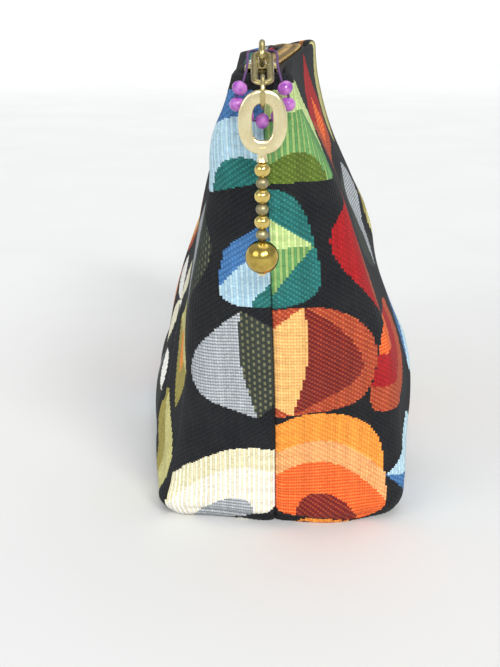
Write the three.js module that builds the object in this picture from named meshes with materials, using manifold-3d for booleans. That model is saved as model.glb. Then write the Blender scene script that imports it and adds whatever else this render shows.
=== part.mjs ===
// Tapestry purse: a boxed cloth bag closed by a zip, with a beaded pull hanging at one end.
// Millimetres, +Z up. X runs along the zip with the pull at the +X end, Y runs from front to back.
// The origin is the centre of the flat underside.
import * as THREE from 'three';
import { mergeVertices } from 'three/addons/utils/BufferGeometryUtils.js';
import Module from 'manifold-3d';

const wasm = await Module();
wasm.setup();

// Cloth bag
const WALL = 2;
const SEAM_GROOVE_DEPTH = 1;
const SEAM_GROOVE_HALF = 1.6;
const LEAST_CORNER = 1.5;
const LIP_ROLL = 0.9;
const LIP_RISE = 1.2;
const RIDGE_RISE = 3.6;
const LIFT_RAMP = 14;

// One row for each level section. reach is the half length at the end seam, bulge how far the end
// swells past it, seam the seam's place across, fold and mid the walls at the end fold and at mid
// length, corner the radius of the end fold, ease how late the sides start to swell, and lift the
// extra height of each wall between the ends.
const SECTION_COLUMNS = ['height', 'reach', 'bulge', 'seam', 'frontFold', 'backFold', 'frontMid', 'backMid',
  'corner', 'ease', 'frontLift', 'backLift'];
const BAG_SECTIONS = [
  [0, 66.5, 0.4, -1.5, -28.5, 29.3, -31.5, 32.5, 4, 1, 0, 0],
  [3, 69, 1, -1.5, -31.8, 31.6, -35, 35.5, 7, 1, 0, 0],
  [10, 71, 2, -1.6, -29.8, 32, -36.2, 37, 8, 1, 0, 0],
  [22, 73.5, 2.5, -1.8, -26, 31, -36, 37.5, 9, 1, 0, 0],
  [36, 76.5, 2.6, -2.1, -23.8, 28.8, -32.4, 36, 9, 1, 0, 0],
  [50, 80, 2.4, -2.6, -22.6, 25.6, -28, 32, 9, 1, 0, 0],
  [64, 83.2, 2, -3.2, -21.4, 21, -23.8, 26.6, 8.5, 1.1, 0, 0],
  [78, 86.5, 1.5, -3.8, -19.8, 15.6, -19.8, 20.6, 8, 1.3, 0, 0],
  [90, 89.3, 1, -4.4, -17.6, 10.4, -14.4, 16, 7, 1.5, 0, 0],
  [100, 91.6, 0.6, -5, -16, 5.6, -8.4, 12.9, 6, 1.8, 0, 0.5],
  [107, 93.4, 0.3, -5.3, -13.2, 2.4, -3.8, 11.2, 5, 2, 0.1, 1.2],
  [112, 94.5, 0, -5.5, -11.9, 0.9, -2.2, 10.6, 4.5, 2, 0.3, 1.9],
].map((row) => Object.fromEntries(SECTION_COLUMNS.map((column, index) => [column, row[index]])));
const BAG_TOP = BAG_SECTIONS.at(-1);
const END_STEPS = [0, 0.35, 0.7];
const CORNER_STEPS = 4;
const SIDE_STEPS = 6;

// Zip
const ZIP_RUN = BAG_TOP.reach - BAG_TOP.corner;
const ZIP_END_Y = (BAG_TOP.frontFold + BAG_TOP.backFold) / 2;
const ZIP_MID_Y = (BAG_TOP.frontMid + BAG_TOP.backMid) / 2;
const ZIP_END_Z = 112.8;
const TAPE_EDGE = 4;
const TAPE_INNER = 2.5;
const TAPE_THICK = 1;
const TAPE_END = 90.3;
const TAPE_STEPS = 24;
const TEETH_OUTER = 2.2;
const TEETH_THICK = 2.4;
const TEETH_PITCH = 3;
const TEETH_GAP = 0.3;
const TOOTH_REACH = 0.8;
const TEETH_START = -88;
const TEETH_STOP = 78.5;

// Slider: plates above and below the tapes, a post between them and an arched bail on top
const SLIDER_REAR = 79.5;
const SLIDER_FRONT = 90;
const SLIDER_REAR_HALF = 2.9;
const SLIDER_FRONT_HALF = 3.7;
const SLIDER_CORNER = 1.4;
const PLATE_THICK = 1.3;
const PLATE_GAP = 0.3;
const POST_LENGTH = 5;
const POST_WIDTH = 2;
const BAIL_WIRE = 0.7;
const BAIL_STEPS = 18;
const BAIL_ROUTE = [
  { along: 81, height: 114.4 },
  { along: 81.8, height: 117.6 },
  { along: 84.6, height: 118.9 },
  { along: 88, height: 118.8 },
  { along: 89.9, height: 117 },
  { along: 89.4, height: 114.4 },
];

// Sides of a wire's section
const WIRE_SIDES = 6;

// Pull: wire link, jump ring and oval ring, one hanging in the next with a small gap
const HANG_GAP = 0.3;
const PULL_X = 100.5;
const PIVOT_Z = 109;
const RING_BAR = 2.5;
const RING_THICK = 1.6;
const RING_HEIGHT = 12.4;
const RING_WIDTH = 9.5;
const RING_STEPS = 24;
const RING_SIDES = 8;
const JUMP_INNER = 2.5;
const JUMP_WIRE = 0.45;
const JUMP_STEPS = 16;
const JUMP_Z = PIVOT_Z - RING_BAR / 2 - HANG_GAP + JUMP_INNER;
const LINK_WIRE = 0.5;
const LINK_HALF = 1.6;
const LINK_STEPS = 28;
const LINK_TOP = { along: 88, height: 116.9 };
const LINK_FOOT = { along: PULL_X, height: JUMP_Z + JUMP_INNER - HANG_GAP - LINK_WIRE };

// Stem below the oval ring: a neck, then a pin with beads and a ball, one row for each piece
const NECK_RADIUS = 1.2;
const NECK_FOOT_Z = 96.1;
const NECK_WAIST = 0.95;
const PIN_RADIUS = 0.45;
const PIN_HEAD_RADIUS = 0.9;
const PIN_HEAD_THICK = 0.6;
const STEM_BORE = 0.65;
const STEM_GAP = 0.1;
const BRIGHT_BEAD = { radius: 1.65, height: 2.9 };
const DULL_BEAD = { radius: 1.35, height: 2.2 };
const BALL = { radius: 3.5, height: 6.9 };
const STEM_PAIRS = 3;
const BEAD_SIDES = 12;
const BEAD_ARC_STEPS = 5;
const BALL_SIDES = 16;
const BALL_ARC_STEPS = 10;

// Loop of glass beads: half of its route, from the bail to the lowest point
const GLASS_BEAD = { radius: 1.6, height: 2.7 };
const GLASS_BORE = 0.85;
const GLASS_PITCH = 3.35;
const GLASS_BEADS = 7;
const THREAD_RADIUS = 0.25;
const THREAD_STEPS = 48;
const LOOP_ROUTE = [
  { along: 86.2, across: 0, height: 117.2 },
  { along: 88.2, across: 2.6, height: 117.4 },
  { along: 92.6, across: 3, height: 116.4 },
  { along: 96, across: 3.1, height: 114.6 },
  { along: 97.4, across: 3.9, height: 111.7 },
  { along: 97.5, across: 5.2, height: 109 },
  { along: 97.3, across: 4.9, height: 106.4 },
  { along: 97.1, across: 2.8, height: 104.5 },
  { along: 97, across: 0, height: 103.9 },
];

const cloth = new THREE.MeshStandardMaterial({ color: 0x8a4a2c, roughness: 0.95, metalness: 0 });
const tapeCloth = new THREE.MeshStandardMaterial({ color: 0x3a2f26, roughness: 0.9, metalness: 0 });
const brass = new THREE.MeshStandardMaterial({ color: 0xb08d3c, roughness: 0.3, metalness: 1 });
const dullBrass = new THREE.MeshStandardMaterial({ color: 0x8c7a46, roughness: 0.45, metalness: 1 });
const purpleGlass = new THREE.MeshStandardMaterial({ color: 0xa044c8, roughness: 0.1, metalness: 0 });
const thread = new THREE.MeshStandardMaterial({ color: 0x5a3a6a, roughness: 0.8, metalness: 0 });

const purse = new THREE.Group();

function addPiece(name, geometry, material) {
  const piece = new THREE.Mesh(geometry, material);
  piece.name = name;
  purse.add(piece);
  return piece;
}

// Closed meshes to solids and back, for joins. Corners closer than this count as one.
const SAME_CORNER = 1e-4;

function toSolid(geometry) {
  const bare = geometry.clone();
  bare.deleteAttribute('normal');
  bare.deleteAttribute('uv');
  const merged = mergeVertices(bare, SAME_CORNER);
  const vertProperties = new Float32Array(merged.attributes.position.array);
  const triVerts = new Uint32Array(merged.index.array);
  return new wasm.Manifold(new wasm.Mesh({ numProp: 3, vertProperties, triVerts }));
}

function toGeometry(solid) {
  const { vertProperties, triVerts } = solid.getMesh();
  const geometry = new THREE.BufferGeometry();
  geometry.setAttribute('position', new THREE.BufferAttribute(vertProperties, 3));
  geometry.setIndex(new THREE.BufferAttribute(triVerts, 1));
  return geometry;
}

function joined(geometries) {
  const solids = geometries.map(toSolid);
  return toGeometry(solids.reduce((whole, solid) => whole.add(solid)));
}

// Skin over a row of closed rings, each anticlockwise when looked at against the row's direction.
// The first and last ring are filled by fans round their centres.
function skinOver(rings) {
  const count = rings[0].length;
  const faces = [];
  for (let row = 0; row + 1 < rings.length; row += 1) {
    for (let step = 0; step < count; step += 1) {
      const here = row * count + step;
      const next = row * count + ((step + 1) % count);
      faces.push(here, next, next + count, here, next + count, here + count);
    }
  }
  const firstCentre = rings.length * count;
  const lastCentre = firstCentre + 1;
  const lastRing = firstCentre - count;
  for (let step = 0; step < count; step += 1) {
    const next = (step + 1) % count;
    faces.push(firstCentre, next, step, lastCentre, lastRing + step, lastRing + next);
  }
  const sumOf = (ring) => ring.reduce((sum, point) => sum.add(point), new THREE.Vector3());
  const centres = [rings[0], rings.at(-1)].map((ring) => sumOf(ring).divideScalar(count));
  const points = [...rings.flat(), ...centres];
  const geometry = new THREE.BufferGeometry().setFromPoints(points);
  geometry.setIndex(faces);
  return geometry;
}

// How far the sides have swelled at a place along the bag: 0 at the end folds, 1 at mid length
function swell(along, run, ease) {
  const share = Math.min(Math.abs(along) / run, 1);
  return (1 - share * share) ** ease;
}

// The quarter of a level section from the end seam to mid length, on the front or back side
function quarterLoop(row, fold, mid, inset, grooved) {
  const outward = Math.sign(fold - row.seam);
  const wallFold = fold - outward * inset;
  const wallMid = mid - outward * inset;
  const reach = row.reach - inset;
  const corner = Math.max(row.corner - inset, LEAST_CORNER);
  const flatEnd = wallFold - outward * corner;
  const grooveShare = SEAM_GROOVE_HALF / Math.abs(flatEnd - row.seam);
  const points = [];
  const shares = END_STEPS.map((step) => grooveShare + (1 - grooveShare) * step);
  for (const share of shares) {
    const swellOut = row.bulge * (1 - share * share);
    points.push([reach + swellOut, row.seam + (flatEnd - row.seam) * share]);
  }
  for (let step = 0; step <= CORNER_STEPS; step += 1) {
    const angle = (Math.PI / 2) * (step / CORNER_STEPS);
    points.push([reach - corner + corner * Math.cos(angle), flatEnd + outward * corner * Math.sin(angle)]);
  }
  const run = reach - corner;
  for (let step = 1; step < SIDE_STEPS; step += 1) {
    const along = run * (1 - step / SIDE_STEPS);
    points.push([along, wallFold + (wallMid - wallFold) * swell(along, run, row.ease)]);
  }
  return { points, middle: [0, wallMid], seamX: reach + row.bulge - (grooved ? SEAM_GROOVE_DEPTH : 0) };
}

// A whole level section, anticlockwise from above, starting at the seam of the +X end
function levelLoop(row, inset, height, grooved) {
  const back = quarterLoop(row, row.backFold, row.backMid, inset, grooved);
  const front = quarterLoop(row, row.frontFold, row.frontMid, inset, grooved);
  const flip = ([x, y]) => [-x, y];
  const outline = [
    [back.seamX, row.seam],
    ...back.points,
    back.middle,
    ...back.points.map(flip).reverse(),
    [-back.seamX, row.seam],
    ...front.points.map(flip),
    front.middle,
    ...[...front.points].reverse(),
  ];
  const run = row.reach - row.corner;
  const climb = (row.height / BAG_TOP.height) ** 2;
  return outline.map(([x, y]) => {
    const ridge = RIDGE_RISE * climb * swell(x, run, 2);
    const wallLift = y > row.seam ? row.backLift : row.frontLift;
    const lift = wallLift * (1 - THREE.MathUtils.smoothstep(Math.abs(x), run - LIFT_RAMP, run));
    return new THREE.Vector3(x, y, height + ridge + lift);
  });
}

function bagGeometry() {
  const outer = BAG_SECTIONS.map((row, index) => levelLoop(row, 0, row.height, index > 0));
  const crest = levelLoop(BAG_TOP, LIP_ROLL, BAG_TOP.height + LIP_RISE, false);
  const inner = BAG_SECTIONS.slice(1).map((row) => levelLoop(row, WALL, row.height, false)).reverse();
  const floor = levelLoop(BAG_SECTIONS[0], WALL, WALL, false);
  return skinOver([...outer, crest, ...inner, floor]);
}

addPiece('tapestry_body', bagGeometry(), cloth);

// The zip's middle line, which follows the ridge of the bag
function zipLine(along) {
  const share = swell(along, ZIP_RUN, 2);
  return { y: ZIP_END_Y + (ZIP_MID_Y - ZIP_END_Y) * share, z: ZIP_END_Z + RIDGE_RISE * share };
}

// A bar of rectangular section along the zip: stations give its place along, inner and outer edges
function zipBar(stations, side, thick) {
  const rings = stations.map(({ along, inner, outer }) => {
    const { y, z } = zipLine(along);
    const corners = [
      [inner, -thick / 2],
      [outer, -thick / 2],
      [outer, thick / 2],
      [inner, thick / 2],
    ];
    const ring = corners.map(([across, up]) => new THREE.Vector3(along, y + side * across, z + up));
    return side > 0 ? ring : ring.reverse();
  });
  return skinOver(rings);
}

function tapeStations() {
  const stations = [];
  for (let step = 0; step <= TAPE_STEPS; step += 1) {
    const along = TAPE_END * ((2 * step) / TAPE_STEPS - 1);
    stations.push({ along, inner: TAPE_INNER, outer: TAPE_EDGE });
  }
  return stations;
}

// Teeth of the two rows zigzag side by side, so that each point lies in a notch of the other row
function teethStations(side) {
  const count = Math.round((2 * (TEETH_STOP - TEETH_START)) / TEETH_PITCH);
  const stations = [];
  for (let step = 0; step <= count; step += 1) {
    const along = TEETH_START + (step * TEETH_PITCH) / 2;
    const point = side * (step % 2 === 0 ? TOOTH_REACH : -TOOTH_REACH);
    stations.push({ along, inner: TEETH_GAP / 2 + point, outer: TEETH_OUTER });
  }
  return stations;
}

for (const [label, side] of [['front', -1], ['back', 1]]) {
  addPiece(`zip_tape_${label}`, zipBar(tapeStations(), side, TAPE_THICK), tapeCloth);
  addPiece(`zip_teeth_${label}`, zipBar(teethStations(side), side, TEETH_THICK), brass);
}

// Round section of a wire
function wireSection(radius) {
  const points = [];
  for (let step = 0; step < WIRE_SIDES; step += 1) {
    const angle = (2 * Math.PI * step) / WIRE_SIDES;
    points.push(new THREE.Vector2(radius * Math.cos(angle), radius * Math.sin(angle)));
  }
  return new THREE.Shape(points);
}

function plateGeometry(low) {
  const outline = new THREE.Shape();
  outline.moveTo(SLIDER_REAR, -SLIDER_REAR_HALF);
  outline.lineTo(SLIDER_FRONT - SLIDER_CORNER, -SLIDER_FRONT_HALF);
  outline.lineTo(SLIDER_FRONT, -SLIDER_FRONT_HALF + SLIDER_CORNER);
  outline.lineTo(SLIDER_FRONT, SLIDER_FRONT_HALF - SLIDER_CORNER);
  outline.lineTo(SLIDER_FRONT - SLIDER_CORNER, SLIDER_FRONT_HALF);
  outline.lineTo(SLIDER_REAR, SLIDER_REAR_HALF);
  const plate = new THREE.ExtrudeGeometry(outline, { depth: PLATE_THICK, bevelEnabled: false });
  return plate.translate(0, ZIP_END_Y, low);
}

function sliderGeometry() {
  const plateLow = ZIP_END_Z + TAPE_THICK / 2 + PLATE_GAP;
  const footLow = ZIP_END_Z - TAPE_THICK / 2 - PLATE_GAP - PLATE_THICK;
  const postHeight = plateLow - footLow;
  const post = new THREE.BoxGeometry(POST_LENGTH, POST_WIDTH, postHeight);
  post.translate((SLIDER_REAR + SLIDER_FRONT) / 2, ZIP_END_Y, footLow + PLATE_THICK / 2 + postHeight / 2);
  const route = BAIL_ROUTE.map(({ along, height }) => new THREE.Vector3(along, ZIP_END_Y, height));
  const bail = new THREE.ExtrudeGeometry(wireSection(BAIL_WIRE), {
    steps: BAIL_STEPS,
    extrudePath: new THREE.CatmullRomCurve3(route, false, 'centripetal'),
  });
  return joined([plateGeometry(plateLow), plateGeometry(footLow), post, bail]);
}

addPiece('zip_slider', sliderGeometry(), brass);

// Wire link: a long loop with rounded ends, slanting from the bail over the end of the bag
function linkGeometry() {
  const top = new THREE.Vector3(LINK_TOP.along, ZIP_END_Y, LINK_TOP.height);
  const foot = new THREE.Vector3(LINK_FOOT.along, ZIP_END_Y, LINK_FOOT.height);
  const run = foot.clone().sub(top);
  const across = new THREE.Vector3(0, LINK_HALF, 0);
  const round = LINK_HALF / run.length();
  const at = (share, side) => top.clone().addScaledVector(run, share).addScaledVector(across, side);
  const route = [at(0, -0.5), at(round, -1), at(0.5, -1), at(1 - round, -1), at(1, -0.5),
    at(1, 0.5), at(1 - round, 1), at(0.5, 1), at(round, 1), at(0, 0.5)];
  const curve = new THREE.CatmullRomCurve3(route, true, 'centripetal');
  return new THREE.TubeGeometry(curve, LINK_STEPS, LINK_WIRE, WIRE_SIDES, true);
}

addPiece('puller_link', linkGeometry(), brass);

const jumpRing = new THREE.TorusGeometry(JUMP_INNER + JUMP_WIRE, JUMP_WIRE, WIRE_SIDES, JUMP_STEPS);
addPiece('jump_ring', jumpRing.rotateX(Math.PI / 2).translate(PULL_X, ZIP_END_Y, JUMP_Z), brass);

// Solid of revolution about Z from a profile of radius and height pairs
function turned(profile, sides) {
  const points = profile.map(([radius, height]) => new THREE.Vector2(radius, height));
  return new THREE.LatheGeometry(points, sides).rotateX(Math.PI / 2);
}

// A drilled bead, its outside an arc of an ellipse that meets the bore at both ends
function beadGeometry({ radius, height }, bore, sides, arcSteps) {
  const profile = [];
  const tip = Math.asin(bore / radius);
  for (let step = 0; step <= arcSteps; step += 1) {
    const angle = tip + (Math.PI - 2 * tip) * (step / arcSteps);
    profile.push([radius * Math.sin(angle), (-(height / 2) * Math.cos(angle)) / Math.cos(tip)]);
  }
  profile.push(profile[0]);
  return turned(profile, sides);
}

// Oval ring with its neck and the pin that carries the stem
function ovalRingGeometry() {
  const halfHeight = (RING_HEIGHT - RING_BAR) / 2;
  const halfWidth = (RING_WIDTH - RING_BAR) / 2;
  const centreZ = PIVOT_Z - halfHeight;
  const route = [];
  for (let step = 0; step < RING_STEPS; step += 1) {
    const angle = (2 * Math.PI * step) / RING_STEPS;
    route.push(new THREE.Vector3(0, halfWidth * Math.sin(angle), halfHeight * Math.cos(angle)));
  }
  const curve = new THREE.CatmullRomCurve3(route, true, 'centripetal');
  const ring = new THREE.TubeGeometry(curve, RING_STEPS, RING_BAR / 2, RING_SIDES, true);
  ring.scale(RING_THICK / RING_BAR, 1, 1).translate(PULL_X, ZIP_END_Y, centreZ);
  const neckTop = centreZ - halfHeight;
  const ballFoot = stemRows().at(-1).centre - BALL.height / 2;
  const stem = turned([
    [0, ballFoot - STEM_GAP - PIN_HEAD_THICK],
    [PIN_HEAD_RADIUS, ballFoot - STEM_GAP - PIN_HEAD_THICK / 2],
    [PIN_HEAD_RADIUS, ballFoot - STEM_GAP],
    [PIN_RADIUS, ballFoot - STEM_GAP],
    [PIN_RADIUS, NECK_FOOT_Z],
    [NECK_RADIUS, NECK_FOOT_Z],
    [NECK_WAIST, (NECK_FOOT_Z + neckTop) / 2],
    [NECK_RADIUS, neckTop],
    [0, neckTop],
  ], BEAD_SIDES);
  return joined([ring, stem.translate(PULL_X, ZIP_END_Y, 0)]);
}

// The beads on the pin from the neck down, bright and dull in turn, then the ball
function stemRows() {
  const rows = [];
  let top = NECK_FOOT_Z - STEM_GAP;
  const threadOn = (form) => {
    rows.push({ form, centre: top - form.height / 2 });
    top -= form.height + STEM_GAP;
  };
  for (let pair = 0; pair < STEM_PAIRS; pair += 1) {
    threadOn(BRIGHT_BEAD);
    threadOn(DULL_BEAD);
  }
  threadOn(BALL);
  return rows;
}

addPiece('oval_ring', ovalRingGeometry(), brass);
stemRows().forEach(({ form, centre }, index) => {
  const isBall = form === BALL;
  const name = isBall ? 'drop_ball' : `stem_bead_${index + 1}`;
  const geometry = isBall ? beadGeometry(form, STEM_BORE, BALL_SIDES, BALL_ARC_STEPS)
    : beadGeometry(form, STEM_BORE, BEAD_SIDES, BEAD_ARC_STEPS);
  const bead = addPiece(name, geometry, form === DULL_BEAD ? dullBrass : brass);
  bead.position.set(PULL_X, ZIP_END_Y, centre);
});

// Closed route of the bead loop: down one side, through the lowest point and up the other
function loopCurve() {
  const place = (row, side) => new THREE.Vector3(row.along, ZIP_END_Y + side * row.across, row.height);
  const down = LOOP_ROUTE.map((row) => place(row, 1));
  const up = LOOP_ROUTE.slice(1, -1).reverse().map((row) => place(row, -1));
  return new THREE.CatmullRomCurve3([...down, ...up], true, 'centripetal');
}

const loop = loopCurve();
const threadTube = new THREE.TubeGeometry(loop, THREAD_STEPS, THREAD_RADIUS, WIRE_SIDES, true);
addPiece('bead_thread', threadTube, thread);

const loopLength = loop.getLength();
for (let index = 0; index < GLASS_BEADS; index += 1) {
  const middle = 0.5 + ((index - (GLASS_BEADS - 1) / 2) * GLASS_PITCH) / loopLength;
  const halfSpan = GLASS_BEAD.height / 2 / loopLength;
  const start = loop.getPointAt(middle - halfSpan);
  const end = loop.getPointAt(middle + halfSpan);
  const geometry = beadGeometry(GLASS_BEAD, GLASS_BORE, BEAD_SIDES, BEAD_ARC_STEPS);
  const bead = addPiece(`glass_bead_${index + 1}`, geometry, purpleGlass);
  const chordMiddle = start.clone().add(end).multiplyScalar(0.5);
  bead.position.copy(chordMiddle.add(loop.getPointAt(middle)).multiplyScalar(0.5));
  bead.quaternion.setFromUnitVectors(new THREE.Vector3(0, 0, 1), end.sub(start).normalize());
}

export default purse;
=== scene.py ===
# %% [markdown]
# # A tapestry purse with a beaded pull
# The purse is a small zipped pouch of ribbed tapestry cloth on a boxed base, with a loop of purple glass
# beads and a gold drop on the zip's slider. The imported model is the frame: it says where each piece is and
# what moves. The rest could be sculpted by hand. In code a size changes in one place and every run is alike.

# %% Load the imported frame
import math

import bpy
import numpy as np
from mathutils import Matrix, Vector


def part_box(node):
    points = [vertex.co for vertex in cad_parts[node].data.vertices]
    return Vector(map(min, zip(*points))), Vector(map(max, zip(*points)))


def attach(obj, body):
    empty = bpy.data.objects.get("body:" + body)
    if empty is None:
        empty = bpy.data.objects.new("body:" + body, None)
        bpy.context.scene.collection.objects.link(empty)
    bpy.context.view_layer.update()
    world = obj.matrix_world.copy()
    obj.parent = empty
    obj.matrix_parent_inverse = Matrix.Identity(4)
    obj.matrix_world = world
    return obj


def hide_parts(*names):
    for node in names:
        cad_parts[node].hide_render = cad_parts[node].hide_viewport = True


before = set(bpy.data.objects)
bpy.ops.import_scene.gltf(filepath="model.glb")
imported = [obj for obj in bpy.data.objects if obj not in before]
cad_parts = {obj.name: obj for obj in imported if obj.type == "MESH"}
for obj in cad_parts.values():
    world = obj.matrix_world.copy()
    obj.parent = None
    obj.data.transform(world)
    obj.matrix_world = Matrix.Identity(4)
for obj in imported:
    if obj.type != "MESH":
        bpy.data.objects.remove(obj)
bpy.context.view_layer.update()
MM = 0.001


# %% [markdown]
# ## Camera
# The photograph looks at one end of the purse from a little above. A camera can be dragged until it looks
# right, but it is surer to write down where it stands and how far it looks down. The lens comes from its
# focal length in pixels, and the sensor width belongs to the picture's longer side, here its height.

# %% Set up the camera
PHOTO_HEIGHT = 667
FOCAL_PIXELS = 1000
SENSOR = 36
CAMERA_AT = (303, -8, 122)
LOOK_DOWN = 17
NEAREST_SEEN = 10

scene = bpy.context.scene
camera_data = bpy.data.cameras.new("camera")
camera_data.sensor_width = SENSOR
camera_data.lens = SENSOR * FOCAL_PIXELS / PHOTO_HEIGHT
camera_data.clip_start = NEAREST_SEEN * MM
camera = bpy.data.objects.new("camera", camera_data)
camera.location = Vector(CAMERA_AT) * MM
camera.rotation_euler = (math.radians(90 - LOOK_DOWN), 0, math.radians(90))
scene.collection.objects.link(camera)
scene.camera = camera
print("lens in mm:", round(camera_data.lens, 2))

# %% [markdown]
# ## Three ways to make a mesh
# The pieces come from three old ways of shaping: a grid laid row by row, as for cloth; a section carried
# along a route, as for wire; a profile turned about an axis, as for a bead. Modifiers could do this, but all
# three end in a grid of quads, so one function makes their faces and numbers the corners for the weave.

# %% Faces of a grid
def grid_faces(rows, columns, wrap_rows=False, wrap_columns=False, flip=False):
    """Quads of a grid of points, and the column and row number at each corner of each quad."""
    row, column = np.indices((rows - 1 + wrap_rows, columns - 1 + wrap_columns))
    corners = [(row, column), (row, column + 1), (row + 1, column + 1), (row + 1, column)]
    if flip:
        corners.reverse()
    faces = np.stack([(r % rows) * columns + c % columns for r, c in corners], axis=-1)
    counts = np.stack([np.stack((c, r), axis=-1) for r, c in corners], axis=2)
    return faces.reshape(-1, 4).tolist(), counts.reshape(-1, 2).astype(float)


def tube_faces(rows, columns, flip=False):
    """Faces of a grid that wraps round its columns and is closed at both ends."""
    first = list(range(columns))
    last = [(rows - 1) * columns + index for index in first]
    ends = [first, last[::-1]] if flip else [first[::-1], last]
    return grid_faces(rows, columns, wrap_columns=True, flip=flip)[0] + ends


print("a tube of two rings of six points has", len(tube_faces(2, 6)), "faces")

# %% Swept wires and turned solids
UP = np.array((0, 0, 1))


def unit(vectors):
    return vectors / np.linalg.norm(vectors, axis=-1, keepdims=True)


def eased(share):
    """A share from 0 to 1 that starts and stops softly."""
    return share * share * (3 - 2 * share)


def curved(first, last, into, out, step, share):
    """Points from first to last, on a curve with slopes into at its start and out at its end."""
    bend = share * (1 - share) * step * ((1 - share) * into - share * out)
    return first + (last - first) * eased(share) + bend


def circle(radius, sides):
    angle = np.linspace(0, 2 * math.pi, sides, endpoint=False)
    return radius * np.column_stack((np.cos(angle), np.sin(angle)))


def swept(route, section, second_axis, closed=False):
    """Carries a closed section along a route; the section's second axis leans as second_axis does."""
    if closed:
        ahead = unit(np.roll(route, -1, axis=0) - np.roll(route, 1, axis=0))
        faces = grid_faces(len(route), len(section), True, True)[0]
    else:
        ahead = unit(np.gradient(route, axis=0))
        faces = tube_faces(len(route), len(section))
    second = np.broadcast_to(np.asarray(second_axis, float), route.shape)
    second = unit(second - (second * ahead).sum(axis=1, keepdims=True) * ahead)
    first = np.cross(second, ahead)
    points = route[:, None] + first[:, None] * section[:, :1] + second[:, None] * section[:, 1:]
    return points.reshape(-1, 3), faces


def turned(profile, sides, bored=False):
    """Turns a profile of (radius, height) pairs about Z. It runs up the outside, and down the bore."""
    profile = np.asarray(profile, float)
    spokes = np.column_stack((circle(1, sides), np.zeros(sides)))
    points = profile[:, None, :1] * spokes + profile[:, None, 1:] * UP
    size = len(profile), sides
    faces = grid_faces(*size, True, True)[0] if bored else tube_faces(*size)
    return points.reshape(-1, 3), faces


def smooth_route(knots, steps, closed=False):
    """Points on a centripetal spline through knots, with steps points to each stretch."""
    knots = np.array(knots, float)
    if closed:
        padded = np.vstack((knots[-1:], knots, knots[:2]))
    else:
        padded = np.vstack((2 * knots[0] - knots[1], knots, 2 * knots[-1] - knots[-2]))
    runs = np.diff(padded, axis=0)
    gaps = np.sqrt(np.linalg.norm(runs, axis=1, keepdims=True))
    rates = runs / gaps
    slopes = rates[:-1] + rates[1:] - (runs[:-1] + runs[1:]) / (gaps[:-1] + gaps[1:])
    share = np.linspace(0, 1, steps, endpoint=False)[:, None, None]
    points = curved(padded[1:-2], padded[2:-1], slopes[:-1], slopes[1:], gaps[1:-1], share)
    route = points.swapaxes(0, 1).reshape(-1, 3)
    return route if closed else np.vstack((route, knots[-1:]))


print("a turned ring has", len(turned([(1, 0), (1, 2)], 8)[0]), "points")

# %% Pieces from points
def joined(*meshes):
    """Several (points, faces) pairs as one."""
    points, faces = [], []
    for part_points, part_faces in meshes:
        start = sum(len(part) for part in points)
        faces += [[index + start for index in face] for face in part_faces]
        points.append(np.asarray(part_points))
    return np.vstack(points), faces


def mesh_piece(name, points, faces, sharp=None):
    """A smooth object from points in millimetres; edges sharper than sharp degrees stay sharp."""
    mesh = bpy.data.meshes.new(name)
    mesh.from_pydata((np.asarray(points) * MM).tolist(), [], faces)
    mesh.polygons.foreach_set("use_smooth", [True] * len(mesh.polygons))
    if sharp is not None:
        mesh.set_sharp_from_angle(angle=math.radians(sharp))
    mesh.update()
    obj = bpy.data.objects.new(name, mesh)
    scene.collection.objects.link(obj)
    return obj


def dress(obj, body, slot, material, *nodes):
    """Gives a piece its finish, the body that it rides on and the nodes that it stands for."""
    obj.data.materials.append(material)
    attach(obj, body)
    if nodes:
        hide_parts(*nodes)
    print(obj.name, "has", len(obj.data.polygons), "faces and rides on", body)


def count_map(obj, counts, name="Counts"):
    """Writes a pair of numbers for each face corner as a UV map; corners left over get zeros."""
    pairs = np.zeros((len(obj.data.loops), 2), np.float32)
    pairs[:len(counts)] = counts
    obj.data.uv_layers.new(name=name).uv.foreach_set("vector", pairs.ravel())


print("pieces are measured in units of", MM, "m")

# %% [markdown]
# ## Shared effects for the finishes
# Woven things show yarns side by side with painted shade in the gaps between them and a little fuzz, and
# metal shows bright and tarnished patches. Each material could hold all of this. As a group an effect
# is made once, and hands out colours and heights to the shader of each material.

# %% Node helpers
COLOUR, VALUE, VECTOR = "NodeSocketColor", "NodeSocketFloat", "NodeSocketVector"
MIX_SHARE, MIX_FIRST, MIX_SECOND, MIX_RESULT = 0, 6, 7, 2


def wire(tree, target, inputs):
    """Gives each socket of a node, by its name or number, a value or a link."""
    for key, value in inputs.items():
        if isinstance(value, bpy.types.NodeSocket):
            tree.links.new(value, target.inputs[key])
        else:
            target.inputs[key].default_value = value


def node(tree, kind, inputs=None, **settings):
    """A new node with its settings and its inputs."""
    made = tree.nodes.new(kind)
    for key, value in settings.items():
        setattr(made, key, value)
    wire(tree, made, inputs or {})
    return made


def maths(tree, operation, *values):
    return node(tree, "ShaderNodeMath", dict(enumerate(values)), operation=operation).outputs[0]


def mixed(tree, share, first, second):
    """A colour between first and second."""
    inputs = {MIX_SHARE: share, MIX_FIRST: first, MIX_SECOND: second}
    return node(tree, "ShaderNodeMix", inputs, data_type="RGBA").outputs[MIX_RESULT]


def spread(tree, value, given, wanted):
    """A value moved from the range that is given to the one that is wanted."""
    return node(tree, "ShaderNodeMapRange", dict(enumerate((value, *given, *wanted)))).outputs[0]


def noise(tree, scale, detail):
    """Soft random values all through a piece, finer as the scale goes up."""
    place = node(tree, "ShaderNodeTexCoord").outputs["Object"]
    return node(tree, "ShaderNodeTexNoise", {"Vector": place, "Scale": scale, "Detail": detail}).outputs[0]


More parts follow.
